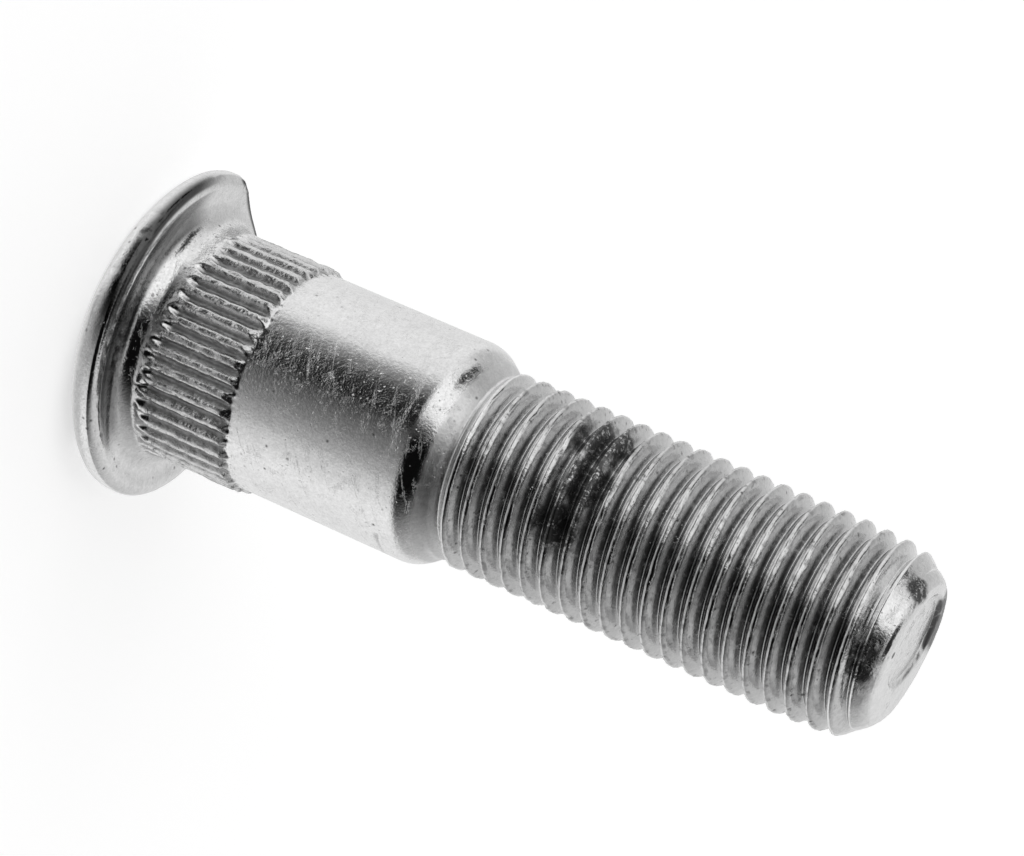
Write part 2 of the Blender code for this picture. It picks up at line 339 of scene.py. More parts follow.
# Studio: how bright the surroundings are by their angle from the near side towards the lower side
LOW_RING = (
    (-180, 0.85), (-90, 1.05), (-68, 1.0), (-48, 0.24), (-34, 0.03), (-14, 0.008), (0, 0.1),
    (20, 0.22), (40, 0.44), (62, 0.82), (90, 1.08), (130, 0.98), (180, 0.85),
)
HIGH_RING = (
    (-180, 0.85), (-150, 0.7), (-122, 0.6), (-95, 0.9), (-60, 1.2), (-30, 1.15), (-12, 0.12),
    (0, 0.004), (58, 0.004), (78, 0.1), (95, 0.3), (125, 0.55), (150, 0.7), (180, 0.85),
)
DEEP_RING = (
    (-180, 0.85), (-90, 1.0), (-40, 1.0), (-20, 0.9), (0, 0.55), (20, 0.45), (40, 0.48),
    (60, 0.6), (90, 0.65), (130, 0.75), (180, 0.85),
)
TOP_LIGHT = 0.95

# Studio: the heights, as sines, between which each ring gives way to the next one up
DEEP_TO_LOW = (-0.56, -0.46)
LOW_TO_HIGH = (-0.2, 0.08)
HIGH_TO_TOP = (0.89, 0.95)

# Dark screens: their direction from the near side and above the horizon, their size and brightness
SCREENS = (
    (0, 88, 21, 0.03), (-84, 28, 12, 0.03), (-102, 28, 12, 0.03), (-116, 54, 9, 0.2),
)

# Floor: its half width in metres, its colour and the light it adds for the camera alone
FLOOR_REACH = 3.0
FLOOR_COLOUR = (0.8, 0.8, 0.8, 1)
FLOOR_GLOW = 0.6


def smooth_step(value, start, end):
    """0 before start, 1 after end and smooth between them."""
    share = np.clip((value - start) / (end - start), 0, 1)
    return share * share * (3 - 2 * share)


def mix(low, high, share):
    """From low at share 0 to high at share 1."""
    return low + (high - low) * share


def soft_max(first, second, rounding):
    """The larger of two values, rounded off where they meet."""
    return (first + second + np.sqrt((first - second) ** 2 + rounding**2)) / 2


def soft_min(first, second, rounding):
    """The smaller of two values, rounded off where they meet."""
    return (first + second - np.sqrt((first - second) ** 2 + rounding**2)) / 2


def grain(points, size, seed):
    """Smooth noise from about -1 to 1 at each point, with features of that size."""
    offset = Vector(GRAIN_STEP) * seed
    return np.array([noise.noise(Vector(point) + offset) for point in points / size])


def cos_from(angle, direction):
    """The cosine of an angle in radians from a direction in degrees."""
    return np.cos(angle - math.radians(direction))


def direction_at(angle):
    """The level direction away from the stud's axis at an angle in degrees."""
    return (math.cos(math.radians(angle)), math.sin(math.radians(angle)), 0)


def turned(radius, level, angle):
    """Points at these radii and levels, one for each angle round the stud."""
    radius, level, angle = np.broadcast_arrays(radius, level, angle)
    return np.stack([radius * np.cos(angle), radius * np.sin(angle), level], axis=-1)


def round_angles(columns):
    return np.arange(columns) * math.tau / columns


def seat_surface(radius):
    """The level of the head's front, on the land and on the fillet inside it."""
    inside = np.clip(FILLET_FOOT - radius, 0, FILLET)
    return FILLET_TOP - np.sqrt(FILLET**2 - inside**2)


def fillet_rows(start, angle):
    """Rows of points along the land, from the radius where it starts, and up the fillet."""
    land = np.maximum(start - FILLET_FOOT, 0)
    first = np.arcsin(np.clip((FILLET_FOOT - start) / FILLET, 0, 1))
    length = land + FILLET * (math.pi / 2 - first)
    rows = []
    for share in np.linspace(0, 1, FILLET_ROWS)[1:]:
        along = share * length
        turn = first + np.maximum(along - land, 0) / FILLET
        radius = np.where(along < land, start - along, FILLET_FOOT - FILLET * np.sin(turn))
        level = np.where(along < land, SEAT_LEVEL, SEAT_LEVEL + FILLET * (1 - np.cos(turn)))
        rows.append(turned(radius, level, angle))
    return rows


def head_rows(angle):
    """Rows of points from the middle of the head's back to the top of its fillet."""
    rim = HEAD_RADIUS - RIM_OUT_OF_ROUND * cos_from(angle, DOWN_ANGLE) ** 2
    facing = np.maximum(-np.cos(angle), FLAT_LEAST_COSINE)
    reach = soft_min(rim, HEAD_FLAT / facing, FLAT_CORNER)
    on_flat = smooth_step(rim - reach, 0, FLAT_BLEND)
    back = mix(BACK_ROUND, FLAT_EDGE_ROUND, on_flat)
    wide_reach = BACK_ROUND_REACH + LOW_SIDE_REACH * np.maximum(cos_from(angle, DOWN_ANGLE), 0)
    back_reach = mix(wide_reach, FLAT_EDGE_ROUND, on_flat)
    front = mix(FRONT_ROUND, FLAT_EDGE_ROUND, on_flat)
    front_reach = mix(FRONT_ROUND_REACH, FLAT_EDGE_ROUND, on_flat)
    rows = [turned((reach - back_reach) * share, 0, angle) for share in BACK_SHARES]
    for turn in np.radians(np.linspace(-90, 0, BACK_ROUND_ROWS)):
        out = reach - back_reach * (1 - np.cos(turn))
        rows.append(turned(out, back * (1 + np.sin(turn)), angle))
    start = reach - front_reach
    top = seat_surface(start)
    for turn in np.radians(np.linspace(0, 90, FRONT_ROUND_ROWS)):
        out = start + front_reach * np.cos(turn)
        rows.append(turned(out, top - front * (1 - np.sin(turn)), angle))
    return rows + fillet_rows(start, angle)


def serration_rows(angle):
    """Rows of points along the serration, before its end and its grooves are pressed in."""
    levels = np.linspace(FILLET_TOP, BLANK_LEVEL, SERRATION_ROWS)[1:]
    return [turned(SERRATION_RADIUS, level, angle) for level in levels]


def shank_rows(angle):
    levels = np.linspace(BLANK_LEVEL, HELIX_FOOT, SHANK_ROWS)[1:]
    return [turned(SHANK_RADIUS, level, angle) for level in levels]


def shoulder_radius(level, angle):
    """The blank's radius along the shank, its rounded shoulder and the neck."""
    slope = math.radians(SHOULDER_ANGLE)
    span = SHOULDER_ROUND * math.sin(slope)
    level = level - SHOULDER_LEAN * SHANK_RADIUS * cos_from(angle, DOWN_ANGLE)
    along = np.clip(level - SHOULDER_START, 0, span)
    arc = SHANK_RADIUS - SHOULDER_ROUND + np.sqrt(SHOULDER_ROUND**2 - along**2)
    cone = np.maximum(level - SHOULDER_START - span, 0) * math.tan(slope)
    return soft_max(arc - cone, NECK_RADIUS, NECK_BLEND)


def from_crest(level, angle):
    """The level above the nearest crest of the thread, negative below it."""
    turns = (level - CREST_LEVEL) / PITCH - angle / math.tau
    return (turns - np.round(turns)) * PITCH


def thread_radius(level, angle):
    """The rolled thread's radius. Its crests slope a little towards the tip."""
    above = from_crest(level, angle)
    fall = (np.abs(above) - CREST_FLAT / 2) / math.tan(math.radians(FLANK_ANGLE))
    crest = CREST_RADIUS - LAST_CRESTS_FALL * np.maximum(level - LAST_CRESTS, 0)
    crest = crest - CREST_TILT * np.clip(above, -CREST_FLAT / 2, CREST_FLAT / 2)
    return crest - soft_min(soft_max(fall, 0, CREST_ROUND), THREAD_DEPTH, ROOT_ROUND)


def bevel_line(angle):
    """The bevel's plane as its reach off the axis at level 0 and that reach's fall per level."""
    slope = math.radians(BEVEL_SLOPE)
    lean = cos_from(math.radians(BEVEL_ANGLE), LOW_SIDE_ANGLE)
    face = FACE_LEVEL - BEVEL_RADIUS * FACE_SLOPE * lean
    reach = BEVEL_RADIUS * math.cos(slope) + face * math.sin(slope)
    facing = np.maximum(cos_from(angle, BEVEL_ANGLE), BEVEL_LEAST_COSINE) * math.cos(slope)
    return reach / facing, math.sin(slope) / facing


def cup_fall(radius, angle):
    """How far the cup in the end face lies below it."""
    x = radius * cos_from(angle, DOWN_ANGLE) + CUP_OFFSET
    y = radius * cos_from(angle, NEAR_ANGLE)
    inside = CUP_RADIUS - np.hypot(x, y)
    return CUP_DEPTH * smooth_step(inside, 0, CUP_WALL)


def face_edge(rise, bevel_reach, bevel_fall, cone_top):
    """The radius at which the end face meets the chamfer or the bevel."""
    cone_edge = cone_top + CHAMFER_SLOPE * (CHAMFER_LEVEL - FACE_LEVEL)
    cone_edge = cone_edge / (1 + CHAMFER_SLOPE * rise)
    bevel_edge = (bevel_reach - FACE_LEVEL * bevel_fall) / (1 + bevel_fall * rise)
    bevel_edge = np.where(bevel_edge > 0, bevel_edge, CREST_RADIUS)
    return soft_min(cone_edge, bevel_edge, BEVEL_BLEND)


def threaded_points(level, angle):
    """Points of the shoulder, the thread, the chamfer and the end face. Levels past the face's
    edge run inwards over the face."""
    rise = -FACE_SLOPE * cos_from(angle, LOW_SIDE_ANGLE)
    bevel_reach, bevel_fall = bevel_line(angle)
    cone_top = CHAMFER_RADIUS - CHAMFER_OFFSET * cos_from(angle, DOWN_ANGLE)
    edge_radius = face_edge(rise, bevel_reach, bevel_fall, cone_top)
    edge_level = FACE_LEVEL + rise * edge_radius
    rolled = smooth_step(level, THREAD_START - RUN_OUT / 2, THREAD_START + RUN_OUT / 2)
    side = mix(shoulder_radius(level, angle), thread_radius(level, angle), rolled)
    cone = cone_top + CHAMFER_SLOPE * (CHAMFER_LEVEL - level)
    side = soft_min(side, soft_min(cone, bevel_reach - bevel_fall * level, BEVEL_BLEND), TIP_BLEND)
    past = np.maximum(level - edge_level, 0)
    face_radius = edge_radius * np.maximum(1 - past / FACE_RUN, FACE_CENTRE_SHARE)
    on_face = level > edge_level
    radius = np.where(on_face, face_radius, side)
    face_level = FACE_LEVEL + rise * face_radius - cup_fall(face_radius, angle)
    height = np.where(on_face, face_level, level)
    from_edge = (radius - edge_radius) ** 2 + (height - edge_level) ** 2
    drop = np.exp(-(from_edge / EDGE_ROUND**2)) * EDGE_ROUND * EDGE_DROP
    return turned(radius - drop, height - drop, angle)


def helix_rows():
    """Rows that follow the thread's helix. The first turn's rows fan out from a level ring."""
    angle = round_angles(COLUMNS)
    rows = []
    for step in CREST_ROWS[1:]:
        rows.append(threaded_points(HELIX_FOOT + step * angle / math.tau, angle))
    for turn in range(HELIX_TURNS):
        for step in CREST_ROWS:
            level = HELIX_FOOT + PITCH * (turn + angle / math.tau) + step
            rows.append(threaded_points(level, angle))
    return rows


def ring_faces(first, second, columns):
    """Quads between two rings of points, each given by its first point's number."""
    following = [(i + 1) % columns for i in range(columns)]
    return [(first + i, first + j, second + j, second + i) for i, j in enumerate(following)]


def stacked_faces(starts, columns):
    """Quads between each ring of points and the next."""
    faces = []
    for first, second in zip(starts, starts[1:]):
        faces += ring_faces(first, second, columns)
    return faces


def narrowing_faces(fine, coarse, columns):
    """Faces from a ring to one with a third of its points."""
    faces = []
    for i in range(columns):
        j = (i + 1) % columns
        here = fine + 3 * i
        faces.append((here, here + 1, coarse + i))
        faces.append((here + 1, here + 2, coarse + j, coarse + i))
        faces.append((here + 2, fine + 3 * j, coarse + j))
    return faces


def helix_faces(start, row_count, centre):
    """Faces of the helical rows, from their level ring to the point in the end face's middle."""
    turn = len(CREST_ROWS)
    last = COLUMNS - 1

    def at(row, column):
        return start + row * COLUMNS + column

    faces = []
    for row in range(row_count - 1):
        for i in range(last):
            faces.append((at(row, i), at(row, i + 1), at(row + 1, i + 1), at(row + 1, i)))
    for row in range(row_count - 1 - turn):
        after = row + turn
        faces.append((at(row, last), at(after, 0), at(after + 1, 0), at(row + 1, last)))
    top = row_count - 1
    faces += [(at(top, i), at(top, i + 1), centre) for i in range(last)]
    faces += [(at(row + 1, last), at(row, last), centre) for row in range(top - turn, top)]
    faces.append((at(top - turn, last), at(top, 0), centre))
    return faces


def push_radially(points, push):
    """Moves each point away from the stud's axis by its own distance."""
    radius = np.hypot(points[:, 0], points[:, 1])
    scale = 1 + push / np.maximum(radius, LEAST_RADIUS)
    points[:, 0] *= scale
    points[:, 1] *= scale


def each_tooth(chance, spread):
    """A random number within the spread for each tooth, or for each groove."""
    return chance.uniform(*spread, TOOTH_COUNT)


def press_grooves(points, chance):
    """Presses the grooves between the teeth. No two teeth are quite alike."""
    angle = np.arctan2(points[:, 1], points[:, 0])
    radius = np.hypot(points[:, 0], points[:, 1])
    level = points[:, 2]
    turn = (angle - math.radians(TOOTH_ANGLE)) / math.tau * TOOTH_COUNT
    tooth = np.round(turn).astype(int) % TOOTH_COUNT
    groove = np.floor(turn).astype(int) % TOOTH_COUNT
    here = (level > SEAT_LEVEL + FILLET / 2) & (level <= BLANK_LEVEL)
    here &= radius < SERRATION_RADIUS + FILLET / 2

    ragged = np.zeros(len(points))
    rough = np.zeros(len(points))
    ragged[here] = grain(points[here], *TOOTH_WAVES)
    rough[here] = grain(points[here] * ROUGHNESS_STRETCH, *TOOTH_RIPPLES)
    end = SERRATION_END + END_WAVE * ragged + each_tooth(chance, END_SPREAD)[tooth]
    fallen = smooth_step(level, end - SERRATION_FALL, end + END_EASE)
    blank = mix(SERRATION_RADIUS, SHANK_RADIUS, fallen)
    blank += each_tooth(chance, BLANK_SPREAD)[tooth] * (level < end)

    upper = 0.5 - 0.5 * cos_from((groove + 0.5) / TOOTH_COUNT * math.tau, DOWN_ANGLE)
    start = GROOVE_START + GROOVE_START_CLIMB * upper
    start += each_tooth(chance, START_SPREAD)[groove]
    ended = smooth_step(level, end - END_EASE, end + END_EASE)
    deep = np.clip((level - start) / GROOVE_RAMP, 0, 1) * (1 - ended)
    crest = TOOTH_CREST_SHARE + each_tooth(chance, CREST_SPREAD)[tooth] + CREST_WAVE * ragged
    aside = (1 - np.abs(turn - np.round(turn)) * 2) / (1 - crest)
    pressed = np.clip(deep - aside**2, 0, 1)
    burr = np.exp(-(((aside - BURR_PLACE) / BURR_WIDTH) ** 2))
    burr = burr * np.clip(BURR_EVENNESS + rough, 0, BURR_MOST) * deep

    foot = smooth_step(level, FILLET_TOP - FILLET / 2, FILLET_TOP)
    foot = foot - smooth_step(level, FILLET_TOP, FILLET_TOP + FOOT_LENGTH)
    above_fillet = level > FILLET_TOP
    surface = np.where(above_fillet, blank, radius) + FOOT_TAPER * foot
    floor = np.where(above_fillet, SERRATION_RADIUS, radius) - GROOVE_DEPTH * pressed
    on_crest = (1 - pressed) * (deep > 0) * (level < end + CRESTS_END)
    roughness = mix(GROOVE_ROUGHNESS, TOOTH_ROUGHNESS, on_crest)
    push = np.minimum(surface, floor) - radius
    push += BURR_HEIGHT * burr
    push += rough * roughness * (level > start) * (level < end + ROUGHNESS_END)
    push_radially(points, np.where(here, push, 0))
    return np.where(here, pressed, 0)


def lean_head(points):
    """Leans the head's rim and front, and leaves its back flat."""
    down = math.radians(DOWN_ANGLE)
    aside = points[:, 0] * math.cos(down) + points[:, 1] * math.sin(down)
    level = points[:, 2]
    low_side = aside > 0
    start = np.where(
        low_side, smooth_step(level, *LOW_SIDE_LEAN_START), smooth_step(level, *LEAN_START)
    )
    share = start * (1 - smooth_step(level, *LEAN_END))
    lean = np.where(low_side, LOW_SIDE_LEAN, HEAD_LEAN)
    points[:, 2] = np.maximum(level + lean * aside * share, 0)


def raise_lip(points):
    """Raises the outer part of the head's front and the ragged lip that the forging left on it."""
    radius = np.hypot(points[:, 0], points[:, 1])
    rise = smooth_step(radius, LAND_RISE_START, LIP_RADIUS)
    rise = rise * smooth_step(points[:, 2], BACK_ROUND, SEAT_LEVEL - FRONT_ROUND)
    points[:, 2] += LAND_RISE * rise
    near = (np.abs(radius - LIP_RADIUS) < LIP_REACH) & (points[:, 2] > BACK_ROUND)
    waves = LIP_WAVE * grain(points[near], *LIP_WAVES)
    ripples = LIP_RIPPLE * grain(points[near], *LIP_RIPPLES)
    ragged = np.clip(LIP_EVENNESS + waves + ripples, 0, LIP_MOST)
    shape = np.exp(-(((radius[near] - LIP_RADIUS) / LIP_WIDTH) ** 2))
    points[near, 2] += LIP_HEIGHT * ragged * shape


def nick(points, chance):
    """Dents in the thread's crests and in the head's rim."""
    places = []
    for _ in range(NICK_COUNT):
        angle = chance.uniform(0, math.tau)
        level = chance.uniform(*NICK_LEVELS)
        turns = math.floor((level - CREST_LEVEL) / PITCH) + angle / math.tau
        level = CREST_LEVEL + PITCH * turns
        places.append((CREST_RADIUS, level, angle, chance.uniform(*NICK_DEPTHS)))
    for _ in range(RIM_NICK_COUNT):
        level = chance.uniform(*RIM_NICK_LEVELS)
        angle = chance.uniform(0, math.tau)
        places.append((HEAD_RADIUS, level, angle, RIM_NICK_DEPTH))
    push = np.zeros(len(points))
    for radius, level, angle, depth in places:
        size = chance.uniform(*NICK_SIZES)
        away = np.linalg.norm(points - turned(radius, level, angle), axis=1)
        push -= depth * np.exp(-((away / size) ** 2))
    push_radially(points, push)


def thread_dirt_and_shade(points):
    """1 where dirt and painted shade lie on the thread, low on its hidden flank, and 0 elsewhere. Its
    crests get dirt specks.
    """
    angle = np.arctan2(points[:, 1], points[:, 0])
    level = points[:, 2]
    along = smooth_step(level, THREAD_START, THREAD_START + RUN_OUT)
    along = along * (1 - smooth_step(level, *UNDARKENED_TIP))
    above = from_crest(level, angle)
    line = np.exp(-(((above - ROOT_DIRT_AND_SHADE_LINE) / ROOT_DIRT_AND_SHADE_WIDTH) ** 2))
    specks = np.zeros(len(points))
    crest = (along > 0) & (np.abs(above) < CREST_FLAT)
    specks[crest] = np.clip(grain(points[crest], *CREST_SPECKS) * SPECK_GAIN + SPECK_LIFT, 0, 1)
    return np.maximum(line, CREST_DIRT * specks) * along


def flat_edge_shade(points):
    """Painted shadow: 1 on the front edge of the head's flat side and 0 elsewhere."""
    edge = smooth_step(-points[:, 0], HEAD_FLAT - FLAT_SHADE_WIDTH, HEAD_FLAT - FLAT_SHADE_WIDTH / 2)
    return edge * smooth_step(points[:, 2], SEAT_LEVEL - FLAT_SHADE_WIDTH, SEAT_LEVEL)


def cup_edge_shade(points):
    """Painted shade along the far edge of the cup. It is narrower and weaker on the low side."""
    radius = np.hypot(points[:, 0], points[:, 1])
    angle = np.arctan2(points[:, 1], points[:, 0])
    share = cup_fall(radius, angle) / CUP_DEPTH
    far = smooth_step(-radius * cos_from(angle, NEAR_ANGLE), *CUP_SHADE_FAR)
    low_side = smooth_step(radius * cos_from(angle, DOWN_ANGLE), *CUP_SHADE_LOW)
    line = np.exp(-(((share - CUP_SHADE_DEPTH) / mix(*CUP_SHADE_WIDTHS, low_side)) ** 2))
    strength = mix(*CUP_SHADE_STRENGTHS, low_side)
    return line * far * strength * (points[:, 2] > FACE_LEVEL - CUP_SHADE_REACH)


def roughen_crests(points):
    """Leaves the thread's crests uneven, as rolling does."""
    angle = np.arctan2(points[:, 1], points[:, 0])
    level = points[:, 2]
    here = (level > THREAD_START) & (np.abs(from_crest(level, angle)) < CREST_FLAT)
    uneven = grain(points[here], *CREST_WAVES) + grain(points[here], *CREST_RIPPLES)
    push = np.zeros(len(points))
    push[here] = CREST_ROUGHNESS * uneven
    push_radially(points, push)


def stud_faces(lower_count, upper_count, helix_count, centre):
    """All faces, from the point in the back's middle to the one in the end face's middle."""
    faces = [(0, 1 + (i + 1) % FINE_COLUMNS, 1 + i) for i in range(FINE_COLUMNS)]
    lower = [1 + i * FINE_COLUMNS for i in range(lower_count)]
    faces += stacked_faces(lower, FINE_COLUMNS)
    first = lower[-1] + FINE_COLUMNS
    faces += narrowing_faces(lower[-1], first, COLUMNS)
    upper = [first + i * COLUMNS for i in range(upper_count)]
    faces += stacked_faces(upper, COLUMNS)
    faces += helix_faces(upper[-1], helix_count + 1, centre)
    return faces


def stud_mesh():
    """The whole stud as one mesh: rings up to the shank, then rows along the helix."""
    lower = head_rows(round_angles(FINE_COLUMNS)) + serration_rows(round_angles(FINE_COLUMNS))
    upper = shank_rows(round_angles(COLUMNS))
    helix = helix_rows()
    rows = [np.zeros((1, 3)), *lower, *upper, *helix]
    centre = sum(len(row) for row in rows)
    last = threaded_points(np.array([TIP_LEVEL + FACE_RUN]), np.array([0.0]))
    points = np.concatenate([*rows, last])

    chance = np.random.default_rng(SEED)
    # The dirt attribute holds dirt and painted shade: both low in the thread's roots, and painted
    # shade in the grooves, along the flat side's front edge and along the cup's far edge
    dirt_and_shade = thread_dirt_and_shade(points)
    dirt_and_shade += GROOVE_SHADE * press_grooves(points, chance)
    dirt_and_shade += flat_edge_shade(points) + cup_edge_shade(points)
    roughen_crests(points)
    raise_lip(points)
    lean_head(points)
    nick(points, chance)

    mesh = bpy.data.meshes.new("wheel_stud")
    mesh.from_pydata(points * MM, [], stud_faces(len(lower), len(upper), len(helix), centre))
    mesh.attributes.new("dirt_and_shade", "FLOAT", "POINT").data.foreach_set("value", dirt_and_shade)
    bm = bmesh.new()
    bm.from_mesh(mesh)
    bmesh.ops.remove_doubles(bm, verts=bm.verts, dist=JOIN_DISTANCE)
    bm.to_mesh(mesh)
    bm.free()
    mesh.shade_smooth()
    return mesh


def stud_piece():
    stud = bpy.data.objects.new("wheel_stud", stud_mesh())
    bpy.context.scene.collection.objects.link(stud)
    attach(stud, "root")
    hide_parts("wheel_stud_body")
    return stud


def connect(tree, slot, value):
    """Links another node's output to a slot, or sets the slot to a number or a brightness."""
    if isinstance(value, bpy.types.NodeSocket):
        tree.links.new(value, slot)
    elif slot.type == "RGBA":
        slot.default_value = (value, value, value, 1)
    else:
        slot.default_value = value


def maths(tree, operation, *values):
    """A Math node. Each value is a number or another node's output."""
    node = tree.nodes.new("ShaderNodeMath")
    node.operation = operation
    for slot, value in zip(node.inputs, values):
        connect(tree, slot, value)
    return node.outputs[0]


def combined(tree, operation, first, *others):
    """Values combined one after another by the same operation."""
    result = first
    for value in others:
        result = maths(tree, operation, result, value)
    return result


def weighted(tree, patterns, plain, weights):
    """A plain level plus each named pattern times its weight."""
    result = plain
    for name, weight in weights.items():
        result = maths(tree, "MULTIPLY_ADD", patterns[name], weight, result)
    return result


def vector_maths(tree, operation, vector, other):
    """A Vector Math node of another node's output and a plain vector."""
    node = tree.nodes.new("ShaderNodeVectorMath")
    node.operation = operation
    tree.links.new(vector, node.inputs[0])
    node.inputs[1].default_value = other
    return node


def dot(tree, vector, direction):
    return vector_maths(tree, "DOT_PRODUCT", vector, direction).outputs["Value"]


def scaled(tree, vector, factors):
    return vector_maths(tree, "MULTIPLY", vector, factors).outputs["Vector"]


def distance(tree, vector, other):
    return vector_maths(tree, "DISTANCE", vector, other).outputs["Value"]


def blend(tree, share, first, second):
    """A colour mix. Each colour is a brightness or another node's output."""
    node = tree.nodes.new("ShaderNodeMix")
    node.data_type = "RGBA"
    tree.links.new(share, node.inputs["Factor"])
    connect(tree, node.inputs[6], first)
    connect(tree, node.inputs[7], second)
    return node.outputs[2]


def ease(tree, value, start, end):
    """0 before start, 1 after end and smooth between them."""
    node = tree.nodes.new("ShaderNodeMapRange")
    node.interpolation_type = "SMOOTHSTEP"
    node.inputs["From Min"].default_value = start
    node.inputs["From Max"].default_value = end
    tree.links.new(value, node.inputs["Value"])
    return node.outputs["Result"]


def fade(tree, value, start, end):
    """1 before start, 0 after end and smooth between them."""
    return maths(tree, "SUBTRACT", 1.0, ease(tree, value, start, end))


def band(tree, value, rise, fall):
    """1 between two edges and 0 outside them. Each edge is a start and an end."""
    return maths(tree, "MULTIPLY", ease(tree, value, *rise), fade(tree, value, *fall))


def grained(tree, place, per_mm, detail, roughness):
    """Noise from about 0.2 to 0.8, with that many features to a millimetre."""
    node = tree.nodes.new("ShaderNodeTexNoise")
    node.inputs["Scale"].default_value = per_mm
    node.inputs["Detail"].default_value = detail
    node.inputs["Roughness"].default_value = roughness
    tree.links.new(place, node.inputs["Vector"])
    return node.outputs["Fac"]


def twisted(tree, place, level, twist):
    """The place turned round the stud's axis in step with its level, in radians to a millimetre."""
    node = tree.nodes.new("ShaderNodeVectorRotate")
    node.rotation_type = "Z_AXIS"
    tree.links.new(place, node.inputs["Vector"])
    tree.links.new(maths(tree, "MULTIPLY", level, twist), node.inputs["Angle"])
    return node.outputs["Vector"]


def hairlines(tree, place, level, twist, stretch, share):
    """Thin broken scratches along the direction in which the noise is stretched."""
    place = twisted(tree, place, level, twist)
    lines = grained(tree, scaled(tree, place, stretch), *HAIRLINE_NOISE)
    off_line = maths(tree, "ABSOLUTE", maths(tree, "SUBTRACT", lines, NOISE_MIDDLE))
    thin = fade(tree, off_line, 0, HAIRLINE_WIDTH)
    start = 1 - share
    where = ease(tree, grained(tree, place, *HAIRLINE_PLACES), start, start + HAIRLINE_FADE)
    return maths(tree, "MULTIPLY", thin, where)


def spots(tree, place, pattern, per_mm, size, start, end):
    """Round spots of up to that size, as a share of their spacing, where the pattern allows them."""
    node = tree.nodes.new("ShaderNodeTexVoronoi")
    node.inputs["Scale"].default_value = per_mm
    tree.links.new(place, node.inputs["Vector"])
    spot = fade(tree, node.outputs["Distance"], 0, size)
    return maths(tree, "MULTIPLY", spot, ease(tree, pattern, start, end))


def blot(tree, place, radius, level, angle, size):
    """A soft-edged blot round a point of the stud."""
    away = distance(tree, place, turned(radius, level, math.radians(angle)))
    ragged = maths(tree, "MULTIPLY_ADD", grained(tree, place, *BLOT_NOISE), size, away)
    start, end = BLOT_EDGE
    return fade(tree, ragged, size * start, size * end)


def painted_reflection(tree, place, level):
    """How much the painted dark reflection on the near side of the head's front and rim darkens it."""
    radius = distance(tree, scaled(tree, place, (1, 1, 0)), (0, 0, 0))
    ring = band(tree, radius, *PAINTED_REFLECTION_RADII)
    low = fade(tree, level, *PAINTED_REFLECTION_TOP)
    near = ease(tree, dot(tree, place, direction_at(NEAR_ANGLE)), *PAINTED_REFLECTION_NEAR)
    land = combined(tree, "MULTIPLY", ring, low, near, PAINTED_REFLECTION_DARKNESS)
    outside = ease(tree, radius, *RIM_PAINTED_REFLECTION_RADII)
    above = ease(tree, level, *RIM_PAINTED_REFLECTION_LEVELS)
    rim_near = ease(tree, dot(tree, place, direction_at(RIM_PAINTED_REFLECTION_ANGLE)), *RIM_PAINTED_REFLECTION_NEAR)
    rim = combined(tree, "MULTIPLY", outside, above, rim_near, RIM_PAINTED_REFLECTION_DARKNESS)
    return maths(tree, "MAXIMUM", land, rim)


def grime_and_shade(tree, place, patterns):
    """Grime and painted shade: gathered where the mesh has dirt and painted shade, grime smeared in
    blots and scattered in small spots.
    """
    dirt_and_shade = tree.nodes.new("ShaderNodeAttribute")
    dirt_and_shade.attribute_name = "dirt_and_shade"
    dirty_and_shaded = ease(tree, dirt_and_shade.outputs["Fac"], *DIRT_AND_SHADE_EDGE)
    gathered = maths(tree, "MULTIPLY", dirty_and_shaded, ease(tree, patterns["mottle"], *DIRT_AND_SHADE_MOTTLE))
    smears = combined(tree, "MAXIMUM", *[blot(tree, place, *each) for each in BLOTS])
    gritty = weighted(tree, patterns, 0, BLOT_GRIT)
    smeared = maths(tree, "MULTIPLY", smears, ease(tree, gritty, *BLOT_GRIT_EDGE))
    specks = spots(tree, place, patterns["cloud"], *SPECKS)
    flecks = spots(tree, place, patterns["mottle"], *FLECKS)
    on_thread = maths(tree, "MULTIPLY", flecks, patterns["threaded"])
    return combined(tree, "MAXIMUM", gathered, smeared, specks, on_thread)


def steel_patterns(tree, place):
    """The patterns that make up the steel's tone, roughness and relief, by name."""
    level = dot(tree, place, (0, 0, 1))
    patterns = {name: grained(tree, place, *kind) for name, kind in NOISES.items()}
    patterns["toothed"] = band(tree, level, *TOOTHED)
    patterns["threaded"] = band(tree, level, *THREADED)
    patterns["dull"] = band(tree, level, *DULL)
    peened = maths(tree, "MULTIPLY", patterns["peening"], patterns["toothed"])
    patterns["toothed_peening"] = peened
    lines = [hairlines(tree, place, level, *each) for each in HAIRLINES]
    patterns["hairlines"] = combined(tree, "MAXIMUM", *lines)
    patterns["pits"] = spots(tree, place, patterns["mottle"], *PITS)
    # The painted dark reflection on the near side of the head's land and rim
    patterns["painted_reflection"] = painted_reflection(tree, place, level)
    patterns["grime_and_shade"] = grime_and_shade(tree, place, patterns)
    return patterns


